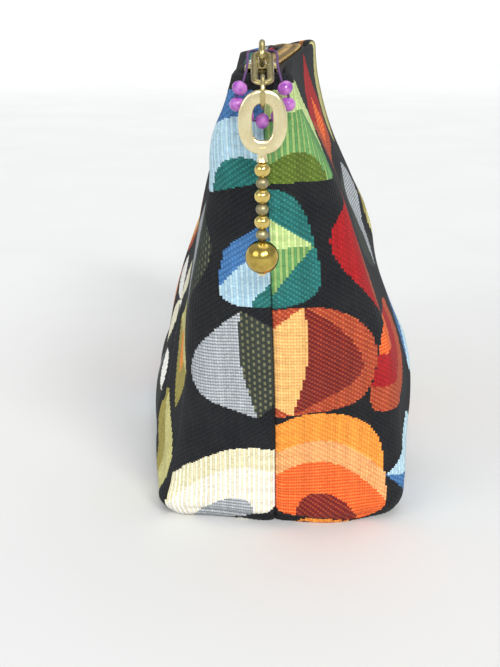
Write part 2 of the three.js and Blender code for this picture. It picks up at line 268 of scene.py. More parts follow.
def node_group(name, inputs, outputs):
    """An empty group whose sockets are given as names with their types."""
    tree = bpy.data.node_groups.new(name, "ShaderNodeTree")
    for in_out, sockets in (("INPUT", inputs), ("OUTPUT", outputs)):
        for label, kind in sockets.items():
            tree.interface.new_socket(label, in_out=in_out, socket_type=kind)
    return tree, tree.nodes.new("NodeGroupInput").outputs, tree.nodes.new("NodeGroupOutput")


def linear(red, green, blue):
    """A colour given from 0 to 255, as eyes see it, turned into the light values that shaders use."""
    shares = np.array((red, green, blue)) / 255
    light = np.where(shares <= 0.04045, shares / 12.92, ((shares + 0.055) / 1.055) ** 2.4)
    return (*light.tolist(), 1)


print("a middle grey is", round(linear(128, 128, 128)[0], 3), "in light values")

# %% [markdown]
# ### Yarns side by side
# The counts that come in are numbers of yarns across and stitches along, so their fractions say where in a
# stitch a point lies. A hump over each fraction gives the height. Its foot is the gap between yarns, where
# painted shade darkens the yarn. An image of a weave would repeat and blur, and numbers stay sharp at
# any size.

# %% Woven yarns group
HUMP_POWER = 2.4
ACROSS_SHARE, ALONG_SHARE = 0.7, 0.3
# GAP_SHADE is painted shade: each yarn is darkened towards it at its foot, in the gap beside the next yarn.
GAP_RANGE, GAP_SHADE = (0.2, 0.8), (0.008, 0.008, 0.01, 1)
# A noise is its scale and its detail, and a range is the stretch of its values that counts.
LINT_NOISE, LINT_RANGE, LINT_SHARE = (2600, 3), (0.52, 0.72), 0.07
WORN_NOISE, WORN_RANGE, WORN_SHARE = (140, 2), (0.3, 0.75), 0.025
LINT, WORN = (0.5, 0.48, 0.46, 1), (0.30, 0.28, 0.25, 1)
ROUGH_RANGE, CLOTH_ROUGHNESS = (0.2, 0.8), (0.78, 0.96)


def woven_yarns():
    tree, given, out = node_group("woven_yarns", {
        "Counts": VECTOR, "Yarn": COLOUR, "Strands": VALUE, "Gap": VALUE, "Slant": VALUE, "Fuzz": VALUE,
    }, {"Colour": COLOUR, "Height": VALUE, "Roughness": VALUE})
    column, row, _ = node(tree, "ShaderNodeSeparateXYZ", {0: given["Counts"]}).outputs
    across = maths(tree, "FRACT", maths(tree, "MULTIPLY", column, given["Strands"]))
    along = maths(tree, "FRACT", maths(tree, "MULTIPLY_ADD", across, given["Slant"], row))
    humps = []
    for share in (across, along):
        from_middle = maths(tree, "ABSOLUTE", maths(tree, "MULTIPLY_ADD", share, 2.0, -1.0))
        humps.append(maths(tree, "SUBTRACT", 1.0, maths(tree, "POWER", from_middle, HUMP_POWER)))
    rounded = maths(tree, "MULTIPLY", humps[0], ACROSS_SHARE)
    stitch = maths(tree, "MULTIPLY_ADD", humps[1], ALONG_SHARE, rounded)
    lint = noise(tree, *LINT_NOISE)
    # Painted shade in the gaps: the lower a point lies in its stitch, the more it is darkened.
    shade = maths(tree, "MULTIPLY", spread(tree, stitch, GAP_RANGE, (1.0, 0.0)), given["Gap"])
    dark = mixed(tree, shade, given["Yarn"], GAP_SHADE)
    dust = maths(tree, "MULTIPLY", spread(tree, lint, LINT_RANGE, (0.0, LINT_SHARE)), given["Fuzz"])
    worn = spread(tree, noise(tree, *WORN_NOISE), WORN_RANGE, (0.0, WORN_SHARE))
    wire(tree, out, {
        "Colour": mixed(tree, worn, mixed(tree, dust, dark, LINT), WORN),
        "Height": maths(tree, "MULTIPLY_ADD", lint, given["Fuzz"], stitch),
        "Roughness": spread(tree, lint, ROUGH_RANGE, CLOTH_ROUGHNESS),
    })
    return tree


WOVEN = woven_yarns()
print("group", WOVEN.name, "has", len(WOVEN.nodes), "nodes")

# %% [markdown]
# ### Handled metal
# Handled brass goes dull in patches and stays bright where fingers rub. A broad noise for the patches and a
# fine one for scratches mix two colours and set the roughness. Wear could be painted on, but edges are rubbed
# most, and Cycles finds those by how pointed a surface is.

# %% Handled metal group
PATCH_NOISE, PATCH_RANGE = (420, 4), (0.35, 0.7)
GRAIN_NOISE, GRAIN_SHARE = (3500, 2), 0.25
EDGE_RANGE, RUBBED_SHARE = (0.5, 0.6), 0.6
MOTTLED_RANGE = (0.05, 0.9)


def handled_metal():
    tree, given, out = node_group("handled_metal", {
        "Bright": COLOUR, "Dull": COLOUR, "Tarnish": VALUE, "Smooth": VALUE, "Rough": VALUE,
    }, {"Colour": COLOUR, "Roughness": VALUE, "Height": VALUE})
    grain = noise(tree, *GRAIN_NOISE)
    edge = node(tree, "ShaderNodeNewGeometry").outputs["Pointiness"]
    rubbed = spread(tree, edge, EDGE_RANGE, (0.0, RUBBED_SHARE))
    stained = spread(tree, noise(tree, *PATCH_NOISE), PATCH_RANGE, (0.0, 1.0))
    left = maths(tree, "MAXIMUM", maths(tree, "SUBTRACT", stained, rubbed), 0.0)
    share = maths(tree, "MULTIPLY", left, given["Tarnish"])
    mottled = maths(tree, "MULTIPLY_ADD", grain, GRAIN_SHARE, share)
    wire(tree, out, {
        "Colour": mixed(tree, share, given["Bright"], given["Dull"]),
        "Roughness": spread(tree, mottled, MOTTLED_RANGE, (given["Smooth"], given["Rough"])),
        "Height": grain,
    })
    return tree


METAL = handled_metal()
print("group", METAL.name, "has", len(METAL.nodes), "nodes")

# %% [markdown]
# ## The finishes
# Each finish is a material with one Principled shader. What changes over the surface comes from a group, and
# what is the same all over, such as sheen, is set on the shader itself.

# %% Cloth finishes
YARN_BUMP = 0.8
CLOTH_CONSTANTS = {"Sheen Roughness": 0.45, "Specular IOR Level": 0.25}


def new_material(name):
    material = bpy.data.materials.new(name)
    material.use_nodes = True
    return material, material.node_tree, material.node_tree.nodes["Principled BSDF"]


def grouped_finish(name, group, values, depth, strength, constants):
    """A material that takes its colour, roughness and bump from a group, and the rest from constants."""
    material, tree, shader = new_material(name)
    effect = node(tree, "ShaderNodeGroup", values, node_tree=group)
    made = effect.outputs
    relief = {"Height": made["Height"], "Distance": depth * MM, "Strength": strength}
    normal = node(tree, "ShaderNodeBump", relief).outputs[0]
    wire(tree, shader, {"Base Color": made["Colour"], "Roughness": made["Roughness"], "Normal": normal})
    wire(tree, shader, constants)
    return material, tree, effect


def woven_finish(name, yarn, strands, gap_shade, slant, fuzz, depth, sheen):
    """Cloth whose yarn is the name of a colour attribute, or one colour for the whole piece."""
    values = {"Strands": strands, "Gap": gap_shade, "Slant": slant, "Fuzz": fuzz}
    constants = {"Sheen Weight": sheen, **CLOTH_CONSTANTS}
    material, tree, weave = grouped_finish(name, WOVEN, values, depth, YARN_BUMP, constants)
    if isinstance(yarn, str):
        yarn = node(tree, "ShaderNodeAttribute", attribute_name=yarn).outputs["Color"]
    counts = node(tree, "ShaderNodeUVMap", uv_map="Counts").outputs[0]
    wire(tree, weave, {"Counts": counts, "Yarn": yarn})
    return material


tapestry_cloth = woven_finish("tapestry_cloth", "Yarn", strands=2, gap_shade=0.2, slant=0.5, fuzz=0.35,
                              depth=0.2, sheen=0.02)
tape_cloth = woven_finish("tape_cloth", linear(34, 28, 24), strands=1, gap_shade=0.6, slant=0.9, fuzz=0.3,
                          depth=0.15, sheen=0.05)
bead_cord = woven_finish("bead_cord", linear(92, 62, 108), strands=1, gap_shade=0.6, slant=1.0, fuzz=0.3,
                         depth=0.05, sheen=0.05)
print("cloth finishes:", tapestry_cloth.name, tape_cloth.name, bead_cord.name)

# %% Metal and glass finishes
METAL_COLUMNS = ("Bright", "Dull", "Tarnish", "Smooth", "Rough")
METALS = {
    "worn_brass": (linear(194, 180, 126), linear(116, 102, 62), 0.9, 0.22, 0.45),
    # The zip's teeth and stop are aged brass, with colours made darker still as painted shade.
    "aged_and_shaded_brass": (linear(112, 92, 56), linear(46, 38, 24), 1.0, 0.4, 0.7),
    "gold_plate": (linear(244, 232, 188), linear(206, 186, 130), 0.5, 0.2, 0.36),
    "bead_gold": (linear(228, 202, 120), linear(170, 140, 68), 0.5, 0.12, 0.3),
    # The drop's brass is deeper than the beads' gold, and darker still as a painted dark reflection.
    "ball_brass_painted_dark": (linear(204, 178, 92), linear(128, 104, 44), 0.7, 0.12, 0.28),
    "dull_brass": (linear(166, 158, 122), linear(104, 98, 70), 0.9, 0.4, 0.6),
}
SCRATCH_DEPTH, SCRATCH_BUMP = 0.03, 0.25
STREAK_NOISE, STREAK_RANGE = (600, 2), (0.35, 0.65)
GLASS_RANGE, GLASS_ROUGHNESS = (0.3, 0.7), (0.03, 0.1)
GLASS_CONSTANTS = {"Transmission Weight": 0.5, "IOR": 1.5}


def metal_finish(name, row):
    values = dict(zip(METAL_COLUMNS, row))
    return grouped_finish(name, METAL, values, SCRATCH_DEPTH, SCRATCH_BUMP, {"Metallic": 1})[0]


def glass_finish(name, pale, deep):
    """Coloured glass with streaks of a deeper colour, as in drawn beads."""
    material, tree, shader = new_material(name)
    streaks = noise(tree, *STREAK_NOISE)
    wire(tree, shader, {
        "Base Color": mixed(tree, spread(tree, streaks, STREAK_RANGE, (0.0, 1.0)), pale, deep),
        "Roughness": spread(tree, streaks, GLASS_RANGE, GLASS_ROUGHNESS),
        **GLASS_CONSTANTS,
    })
    return material


metals = {name: metal_finish(name, row) for name, row in METALS.items()}
purple_glass = glass_finish("purple_glass", pale=linear(240, 160, 242), deep=linear(178, 84, 204))
print("metals:", *metals, "and glass:", purple_glass.name)

# %% [markdown]
# ## The cloth wall
# Front, underside and back are cut in one and sewn up the middle of each end, so each side is a panel that
# runs from one end's seam, round a soft fold, along the side and round to the other end. Cloth could be
# simulated over a block. The purse holds its shape, so its level sections are a table, and the panel is laid
# on smooth curves through them. Lengths are shared out evenly, so the ribs run up as they do on the loom.

# %% Level sections of the bag
SECTION_COLUMNS = ("height", "reach", "bulge", "seam", "front_fold", "back_fold",
                   "front_mid", "back_mid", "corner", "ease", "front_lift", "back_lift")
BAG_SECTIONS = np.array([
    (0, 66.5, 0.4, -1.5, -28.5, 29.3, -31.5, 32.5, 4, 1, 0, 0),
    (3, 69, 1, -1.5, -31.8, 31.6, -35, 35.5, 7, 1, 0, 0),
    (10, 71, 2, -1.6, -29.8, 32, -36.2, 37, 8, 1, 0, 0),
    (22, 73.5, 2.5, -1.8, -26, 31, -36, 37.5, 9, 1, 0, 0),
    (36, 76.5, 2.6, -2.1, -23.8, 28.8, -32.4, 36, 9, 1, 0, 0),
    (50, 80, 2.4, -2.6, -22.6, 25.6, -28, 32, 9, 1, 0, 0),
    (64, 83.2, 2, -3.2, -21.4, 21, -23.8, 26.6, 8.5, 1.1, 0, 0),
    (78, 86.5, 1.5, -3.8, -19.8, 15.6, -19.8, 20.6, 8, 1.3, 0, 0),
    (90, 89.3, 1, -4.4, -17.6, 10.4, -14.4, 16, 7, 1.5, 0, 0),
    (100, 91.6, 0.6, -5, -16, 5.6, -8.4, 12.9, 6, 1.8, 0, 0.5),
    (107, 93.4, 0.3, -5.3, -13.2, 2.4, -3.8, 11.2, 5, 2, 0.1, 1.2),
    (112, 94.5, 0, -5.5, -11.9, 0.9, -2.2, 10.6, 4.5, 2, 0.3, 1.9),
])
LEVELS = BAG_SECTIONS[:, 0]
SECTION_SLOPES = np.gradient(BAG_SECTIONS, LEVELS, axis=0)
BAG_TOP = LEVELS[-1]
SEAM_GAP = 0.05
END_POINTS, FOLD_POINTS, FLANK_POINTS = 30, 30, 160


def section_at(height):
    """Sizes of the level section at a height, on smooth curves through the table's rows."""
    low = int(np.clip(np.searchsorted(LEVELS, height, side="right") - 1, 0, len(LEVELS) - 2))
    step = LEVELS[low + 1] - LEVELS[low]
    share = (height - LEVELS[low]) / step
    row = curved(*BAG_SECTIONS[low:low + 2], *SECTION_SLOPES[low:low + 2], step, share)
    return dict(zip(SECTION_COLUMNS, row))


def swell(along, run, ease):
    """How far the sides have swelled: 0 at the end folds, 1 at mid length."""
    share = np.minimum(np.abs(along) / run, 1)
    return (1 - share * share) ** ease


def level_quarter(row, side):
    """Plan of a level section from the end seam to mid length, as close points."""
    fold, mid, corner = row[side + "_fold"], row[side + "_mid"], row["corner"]
    outward = math.copysign(1, fold - row["seam"])
    flat_end = fold - outward * corner
    flat = flat_end - row["seam"]
    share = np.linspace(SEAM_GAP / abs(flat), 1, END_POINTS, endpoint=False)
    end = (row["reach"] + row["bulge"] * (1 - share ** 2) ** 2, row["seam"] + flat * share)
    angle = np.linspace(0, math.pi / 2, FOLD_POINTS, endpoint=False)
    run = row["reach"] - corner
    bend = (run + corner * np.cos(angle), flat_end + outward * corner * np.sin(angle))
    along = run * np.linspace(1, 0, FLANK_POINTS)
    flank = (along, fold + (mid - fold) * swell(along, run, row["ease"]))
    return np.hstack((end, bend, flank)).T


print("the bag is", BAG_TOP, "mm to the lip and", 2 * BAG_SECTIONS[-1, 1], "mm along it")

# %% [markdown]
# A panel's rows are stitches and its columns yarns, two to a rib. Points lie in the valleys and on the crests
# by turns, the least that shades as round ribs. The rows run from the middle of the underside, up the wall,
# over the rolled lip and down the inside, so the panel is closed.

# %% Rows of a panel
RIBS = 156
RIB_COLUMNS = 2
COLUMNS = RIBS * RIB_COLUMNS
HALF_SHARES = np.linspace(0, 1, COLUMNS // 2 + 1)
STITCH = 0.42
WALL_ROWS = round(BAG_TOP / STITCH)
UNDER_ROWS, UNDER_HALF_LENGTH = 14, 62
RIDGE_RISE, RIDGE_EASE = 3.6, 2
LIFT_RAMP = 14
FACING = {"front": -1, "back": 1}


def panel_row(height, side):
    """Points of one row, from the +X seam to the other, and its length from seam to mid length."""
    row = section_at(height)
    plan = level_quarter(row, side)
    lengths = np.concatenate(([0], np.cumsum(np.hypot(*np.diff(plan, axis=0).T))))
    spots = lengths[-1] * HALF_SHARES
    half = np.column_stack([np.interp(spots, lengths, axis) for axis in plan.T])
    x, y = np.vstack((half, half[-2::-1] * (-1, 1))).T
    run = row["reach"] - row["corner"]
    ridge = RIDGE_RISE * (height / BAG_TOP) ** 2 * swell(x, run, RIDGE_EASE)
    ramp = np.clip((np.abs(x) - run + LIFT_RAMP) / LIFT_RAMP, 0, 1)
    lift = row[side + "_lift"] * (1 - eased(ramp))
    return np.column_stack((x, y, height + ridge + lift)), lengths[-1]


def plan_normals(row, facing):
    """Level directions out of the cloth at each point of a row."""
    ahead = np.gradient(row[:, :2], axis=0)
    return unit(np.column_stack((ahead[:, 1], -ahead[:, 0], np.zeros(len(row))))) * facing


def under_middle(edge, side):
    """Points of a panel's first row, along the middle line of the underside."""
    along = np.linspace(UNDER_HALF_LENGTH, -UNDER_HALF_LENGTH, len(edge))
    return np.column_stack((along, np.full(len(edge), FACING[side] * SEAM_GAP), edge[:, 2]))


print(RIBS, "ribs and", WALL_ROWS, "stitches up each panel")

# %% [markdown]
# Plain rows would look like bent card. Cloth gives: the seam draws in and puckers, the short seam across each
# boxed corner marks a line above the base, where the end swells, and the sides slump in broad waves with a
# few slack folds. Each is a small push along the cloth's own outward direction, so they add up simply. A fold
# rises on one side of its line as much as it sinks on the other.

# %% Give of the cloth
RIB_RISE = 0.14
SEAM_DEPTH, SEAM_REACH = 0.9, 0.9
PUCKER_RISE, PUCKER_PITCH, PUCKER_REACH = 0.22, 3.4, 4
PUCKER_WANDER, WANDER_HEIGHT = 0.8, 7
BASE_SEAM_HEIGHT, BASE_SEAM_DEPTH, BASE_SEAM_WIDTH = 2.9, 0.45, 0.7
BASE_SEAM_REACH, BASE_SEAM_FADE = 24, 1.5
BASE_SWELL, BASE_SWELL_REACH, BASE_SWELL_HEIGHT = 1.8, 12, 9
BACK_SWELL, BACK_SWELL_REACH = 2.8, 30
SLUMP_RISE = 0.6
LOOSE_HEIGHT, LOOSE_REACH = 25, 18
SLUMP_TURNS = {"front": 3.4, "back": 2.1}
# A wave: its share of the rise, its lengths up and from the seam, and how often the turn shifts it.
SLUMP_WAVES = [(1, 11, 19, 1), (1, 17, -13, 2), (0.6, 6.5, 31, 3)]
# A fold: where it starts, across and up, where it stops, its rise and its width. A distance times its bell
# is never more than 1 / FULL_FOLD widths, so FULL_FOLD brings a fold to its rise.
FULL_FOLD = math.sqrt(2 * math.e)
FOLDS = {
    "front": [(34, 4, 66, 42, 0.9, 6), (158, 4, 126, 48, 0.8, 7),
              (58, 88, 106, 74, 0.8, 6), (88, 20, 128, 33, -0.6, 7)],
    "back": [(36, 5, 70, 36, 0.9, 6), (160, 6, 132, 54, 0.8, 7),
             (82, 60, 140, 71, 0.7, 7), (46, 94, 80, 70, 0.7, 6)],
}


def bell(distance, width):
    return np.exp(-(distance / width) ** 2)


def slack_fold(across, height, fold):
    """Push of one fold: up on one side of its line, down on the other, fading out all round."""
    start, run = np.array(fold[:2]), np.subtract(fold[2:4], fold[:2])
    rise, width = fold[4:]
    off = np.stack((across, np.broadcast_to(height, across.shape)), axis=-1) - start
    share = np.clip(off @ run / (run @ run), 0, 1)
    away = np.linalg.norm(off - share[..., None] * run, axis=-1)
    beside = (off[..., 1] * run[0] - off[..., 0] * run[1]) / np.linalg.norm(run) / width
    return rise * FULL_FOLD * beside * bell(away, width)


def give(side, from_seam, across, height):
    """Push out of the cloth in mm, by distance from the nearest seam and from the +X one, and by height."""
    turn = SLUMP_TURNS[side]
    rib = np.where(np.arange(from_seam.shape[1]) % RIB_COLUMNS == 0, -0.5, 0.5) * RIB_RISE
    seam = -SEAM_DEPTH * np.exp(-from_seam / SEAM_REACH)
    wander = PUCKER_WANDER * np.sin(height / WANDER_HEIGHT + turn)
    stitches = np.sin(2 * math.pi * height / PUCKER_PITCH + wander)
    pucker = PUCKER_RISE * stitches * np.exp(-from_seam / PUCKER_REACH)
    at_end = 1 / (1 + np.exp((from_seam - BASE_SEAM_REACH) / BASE_SEAM_FADE))
    base_seam = -BASE_SEAM_DEPTH * bell(height - BASE_SEAM_HEIGHT, BASE_SEAM_WIDTH) * at_end
    swelled = BASE_SWELL * bell(from_seam, BASE_SWELL_REACH)
    if side == "back":
        swelled += BACK_SWELL * np.sin(math.pi * np.minimum(from_seam / BACK_SWELL_REACH, 1)) ** 2
    base_swell = swelled * bell(height, BASE_SWELL_HEIGHT)
    slump = sum(share * np.sin(height / up + from_seam / out + shifts * turn)
                for share, up, out, shifts in SLUMP_WAVES)
    folds = sum(slack_fold(across, height, fold) for fold in FOLDS[side])
    loose = np.clip(from_seam / LOOSE_REACH, 0, 1)
    for distance in (height, BAG_TOP - height):
        loose = loose * np.clip(distance / LOOSE_HEIGHT, 0, 1)
    return rib + seam + pucker + base_seam + base_swell + (SLUMP_RISE * slump + folds) * loose


def soften_edge(rows, edge, reach, passes):
    """Rounds the turn from the underside to the wall by averaging neighbouring rows."""
    low, high = edge - reach, edge + reach + 1
    for _ in range(passes):
        rows[low:high] = (rows[low - 1:high - 1] + 2 * rows[low:high] + rows[low + 1:high + 1]) / 4
    return rows


print("a seam draws in", SEAM_DEPTH, "mm and the sides slump by about", SLUMP_RISE, "mm")

# %% [markdown]
# ## The woven design
# The cloth is a jacquard: each stitch shows one of many yarns, so edges step from yarn to yarn. The design is
# plain patchwork of the old kinds, in a chart of cells with each row shifted along. An image could hold it,
# but short codes are easier to change. A yarn is two colours, laid by turns side by side, row by row,
# slantwise or in dots, as a loom mixes them.

# %% Yarns and colourways
YARNS = {
    "black": ((15, 17, 21), (26, 30, 36), "twill"),
    "white": ((248, 246, 240), (234, 227, 198), "rib"),
    "cream": ((238, 233, 206), (222, 212, 168), "rib"),
    "grey": ((136, 142, 150), (186, 190, 192), "row"),
    "dark olive": ((50, 56, 50), (112, 112, 82), "dots"),
    "orange": ((246, 158, 62), (236, 132, 48), "twill"),
    "red orange": ((228, 82, 28), (240, 122, 54), "row"),
    "peach": ((232, 156, 98), (242, 182, 114), "twill"),
    "light peach": ((244, 194, 122), (234, 172, 98), "row"),
    "maroon": ((112, 26, 26), (158, 62, 38), "twill"),
    "rust": ((166, 62, 38), (196, 98, 58), "twill"),
    "pale green": ((206, 226, 152), (178, 204, 130), "rib"),
    "mid green": ((98, 154, 90), (150, 178, 106), "rib"),
    "olive": ((84, 106, 34), (108, 128, 50), "twill"),
    "yellow green": ((148, 162, 72), (122, 142, 60), "twill"),
    "teal": ((28, 100, 98), (46, 128, 120), "twill"),
    "pale blue": ((188, 218, 230), (164, 200, 220), "rib"),
    "blue": ((72, 124, 178), (54, 98, 152), "twill"),
    "red": ((174, 22, 28), (150, 14, 22), "twill"),
    "olive yellow": ((164, 152, 76), (142, 130, 60), "rib"),
    "cream yellow": ((208, 202, 134), (190, 180, 106), "rib"),
}
COLOURWAYS = {
    "w": ("black", "white", "cream", "grey"),
    "k": ("black", "dark olive", "grey", "white"),
    "o": ("orange", "red orange", "peach", "maroon"),
    "m": ("rust", "light peach", "maroon", "orange"),
    "g": ("black", "mid green", "pale green", "olive"),
    "t": ("teal", "pale green", "mid green", "yellow green"),
    "b": ("black", "pale blue", "blue", "teal"),
    "r": ("black", "red", "rust", "red orange"),
    "y": ("black", "cream yellow", "olive yellow", "orange"),
}
YARN_NAMES = list(YARNS)
print(len(YARNS), "yarns in", len(COLOURWAYS), "colourways")

# %% [markdown]
# A motif is a formula for one cell. It takes places from -1 to 1, a across and b up the cell, and says
# which colour of the colourway lies there, by its number. The first colour, number 0, is the ground.

# %% Motifs and charts
def leaf(a, b):
    return np.where(np.abs(a) < 0.8 * (1 - b * b), np.where(a < 0, 1, 2), 0)


def shell(a, b):
    reach = np.hypot(a, b + 1)
    return np.select([reach < 0.45, reach < 1.05, reach < 1.45], [3, 1, 2], 0)


def lozenge(a, b):
    reach = np.abs(a) + np.abs(b)
    return np.select([reach < 0.4, reach < 0.98], [3, np.where(b > 0, 1, 2)], 0)


def petals(a, b):
    p, q = np.abs(a), np.abs(b)
    inside = (np.hypot(p - 1, q) < 1) & (np.hypot(p, q - 1) < 1)
    return np.where(inside, np.where(a * b > 0, 1, 2), 0)


def quarter(a, b):
    reach = np.hypot(a + 1, b - 1)
    return np.select([reach < 0.7, reach < 1.3, reach < 1.8], [3, 1, 2], 0)


def wave(a, b):
    level = b + 0.3 * np.sin(math.pi * a)
    return np.select([level < -0.55, level < 0.05, level < 0.6], [0, 1, 2], 3)


MOTIFS = {"L": leaf, "S": shell, "Z": lozenge, "P": petals, "Q": quarter, "W": wave}
CELL_WIDTH, CELL_HEIGHT = 34, 29
CELL_SHIFTS = (0, 3, 12, 22, 8)
SWAY, SWAY_PITCH = 3.2, 11
SWAY_TURNS = {"front": 5, "back": 4}
PATCH_POWER, PATCH_FILL = 3, 0.99
CHARTS = {
    "front": (
        "Wk Wo Wk Wm Wk Wo Wk",
        "Sw Ly Qk Lb Zm Sg Lw",
        "Lk Zy Pw So Lb Zg Qm",
        "Sb Lk Qy Lm Zb Lo Pg",
        "Sb Wk Zr Lk Wb Sg Lk",
    ),
    "back": (
        "Wm Wo Wk Wm Wk Wo Wk",
        "So Zb Lk Qm Lg Pr Sk",
        "Lm Qr Sb Lk Zo Lg Wm",
        "Zt Lr Lk Sy Lb Zm Qk",
        "Sg Zr Ly Lo Zb Sk Lr",
    ),
}


def charted(panel, across, height):
    """The yarn number of each stitch, by its distance from the +X seam and its height, in mm."""
    yarn = np.zeros(across.shape, int)
    across, height = (across + SWAY * np.sin(height / SWAY_PITCH),
                      height + SWAY * np.sin(across / SWAY_PITCH + SWAY_TURNS[panel]))
    level = np.clip(np.floor(height / CELL_HEIGHT) + 1, 0, len(CELL_SHIFTS) - 1).astype(int)
    for row, (codes, shift) in enumerate(zip(CHARTS[panel], CELL_SHIFTS)):
        place = np.maximum(np.floor((across + shift) / CELL_WIDTH), 0).astype(int)
        for column, (motif, way) in enumerate(codes.split()):
            here = (level == row) & (place == column)
            a = 2 * ((across[here] + shift) / CELL_WIDTH - column) - 1
            b = 2 * (height[here] / CELL_HEIGHT - row + 1) - 1
            lookup = np.array([YARN_NAMES.index(name) for name in COLOURWAYS[way]])
            inside = np.abs(a) ** PATCH_POWER + np.abs(b) ** PATCH_POWER < PATCH_FILL
            yarn[here] = np.where(inside, lookup[MOTIFS[motif](a, b)], YARN_NAMES.index("black"))
    return yarn


print(sum(len(row.split()) for chart in CHARTS.values() for row in chart), "cells are charted")

# %% Colour of each stitch
STITCH_JITTER, RIB_JITTER = 0.07, 0.05
DYE_SEEDS = {"front": 5, "back": 4}
YARN_LIGHT = np.array([[linear(*first)[:3], linear(*second)[:3]] for first, second, _ in YARNS.values()])
YARN_MIX = np.array([("rib", "row", "twill", "dots").index(mix) for *_, mix in YARNS.values()])


def stitch_colours(panel, across, height):
    """Light values of each stitch: rows of stitches by yarns, with small differences of dye."""
    yarn = charted(panel, across, height)
    row, column = np.indices(yarn.shape)
    dots = (row // 2 + column // 2) % 2 * (column % 2)
    turns = np.stack((column % 2, row % 2, (row + column) % 3 == 0, dots))
    second = np.take_along_axis(turns, YARN_MIX[yarn][None], axis=0)[0].astype(int)
    dye = np.random.default_rng(DYE_SEEDS[panel])
    tone = 1 + STITCH_JITTER * dye.standard_normal(yarn.shape)
    tone *= 1 + RIB_JITTER * dye.standard_normal((1, yarn.shape[1]))
    return np.clip(YARN_LIGHT[yarn, second] * tone[..., None], 0, 1)


print("stitches differ in tone by about", STITCH_JITTER)

# %% [markdown]
# ## Laying the panels
# Now the rows, the give and the colours meet. A panel wraps over the lip and back along the inside, and a
# face closes it at each seam. Colours could be kept on the points, but there one stitch would bleed into the
# next, so they go on face corners, four alike to a quad.

# %% Outside, lip and inside of a panel
SOFT_ROWS, SOFT_PASSES = 5, 3
UNDER_LEVEL, UNDER_GIVE = -30, 0.3
LIP_ROLL, LIP_RISE, LIP_STEPS = 0.9, 1.2, 6
CLOTH_THICK = 2 * LIP_ROLL
INNER_HEIGHTS = np.linspace(109, 4, 14)
INNER_SLACK = 0.8
FLOOR_SHARES = (0.15, 0.4, 0.7, 1)


def panel_points(side):
    """Points of a panel, row by row, and the half length and the height of its outer rows."""
    facing = FACING[side]
    heights = np.linspace(0, BAG_TOP, WALL_ROWS + 1)
    walls, halves = zip(*(panel_row(height, side) for height in heights))
    middle = under_middle(walls[0], side)
    under = np.linspace(middle, walls[0], UNDER_ROWS, endpoint=False)
    outer = soften_edge(np.concatenate((under, walls)), UNDER_ROWS, SOFT_ROWS, SOFT_PASSES)
    half = np.concatenate((np.full(UNDER_ROWS, halves[0]), halves))
    level = np.concatenate((np.linspace(UNDER_LEVEL, 0, UNDER_ROWS, endpoint=False), heights))
    share = np.linspace(0, 2, COLUMNS + 1)
    from_seam = half[:, None] * np.minimum(share, 2 - share)
    push = give(side, from_seam, half[:, None] * share, level[:, None])
    push[:UNDER_ROWS] = np.minimum(push[:UNDER_ROWS], 0) * UNDER_GIVE
    normals = unit(np.cross(np.gradient(outer, axis=1), np.gradient(outer, axis=0))) * facing
    outer = outer + normals * push[..., None]
    outer[..., 2] = np.maximum(outer[..., 2], 0)

    out = plan_normals(walls[-1], facing)
    angle = np.linspace(0, math.pi, LIP_STEPS + 1)[1:, None, None]
    rolled = out * (np.cos(angle) - 1) * LIP_ROLL + UP * LIP_RISE * np.sin(angle)
    fading = (out * np.cos(angle) + UP * np.sin(angle)) * (1 - angle / math.pi)
    lip = walls[-1] + rolled + fading * push[-1][:, None]
    inner = []
    for height in INNER_HEIGHTS:
        row = panel_row(height, side)[0]
        thick = CLOTH_THICK + INNER_SLACK - push[UNDER_ROWS + round(height / BAG_TOP * WALL_ROWS)]
        inner.append(row - plan_normals(row, facing) * thick[:, None])
    edge, middle = inner[-1] * (1, 1, 0) + UP * CLOTH_THICK, middle + UP * CLOTH_THICK
    floor = edge + (middle - edge) * np.array(FLOOR_SHARES)[:, None, None]
    return np.concatenate((outer, lip, inner, floor)), half, level


print("the cloth is", CLOTH_THICK, "mm thick at the lip")

# %% Lay both panels
INSIDE_DARKENING = 0.45
END_SHADE = 0.01
END_STRIP = 4
BAKE_SPARE, BAKE_MARGIN = 10, 0.005
HIDDEN_LEVEL = BAG_TOP + 1


def lay_panel(side):
    points, half, level = panel_points(side)
    rows, hidden = len(points), len(points) - len(half)
    faces, counts = grid_faces(rows, COLUMNS + 1, wrap_rows=True, flip=side == "front")
    ends = [[row * (COLUMNS + 1) + column for row in range(rows)] for column in (0, COLUMNS)]
    ends[0 if side == "front" else 1].reverse()
    panel = mesh_piece("tapestry_" + side, points.reshape(-1, 3), faces + ends)

    yarn_middles = (np.arange(COLUMNS) + 0.5) / COLUMNS * 2
    across = np.pad(half, (0, hidden), "edge")[:, None] * yarn_middles
    height = np.pad(level, (0, hidden), constant_values=HIDDEN_LEVEL)[:, None]
    colours = stitch_colours(side, across, height)
    # From the middle of the lip on, the inside of the panel is darker by this factor.
    colours[len(half) + LIP_STEPS // 2:] *= INSIDE_DARKENING
    colours = np.vstack((np.repeat(colours.reshape(-1, 3), 4, axis=0), np.full((2 * rows, 3), END_SHADE)))
    layer = panel.data.color_attributes.new("Yarn", "FLOAT_COLOR", "CORNER")
    layer.data.foreach_set("color", np.column_stack((colours, np.ones(len(colours)))).ravel())

    end_columns = np.repeat((COLUMNS + END_STRIP, COLUMNS + 2 * END_STRIP), rows)
    end_counts = np.column_stack((end_columns, np.concatenate(ends) // (COLUMNS + 1)))
    whole = np.vstack((counts, end_counts))
    count_map(panel, whole / (RIB_COLUMNS, 1))
    shares = whole / (COLUMNS + BAKE_SPARE, rows)
    count_map(panel, BAKE_MARGIN + (1 - 2 * BAKE_MARGIN) * shares, "OFBake")
    return panel


for side in FACING:
    dress(lay_panel(side), "bag", "tapestry", tapestry_cloth, "tapestry_body")

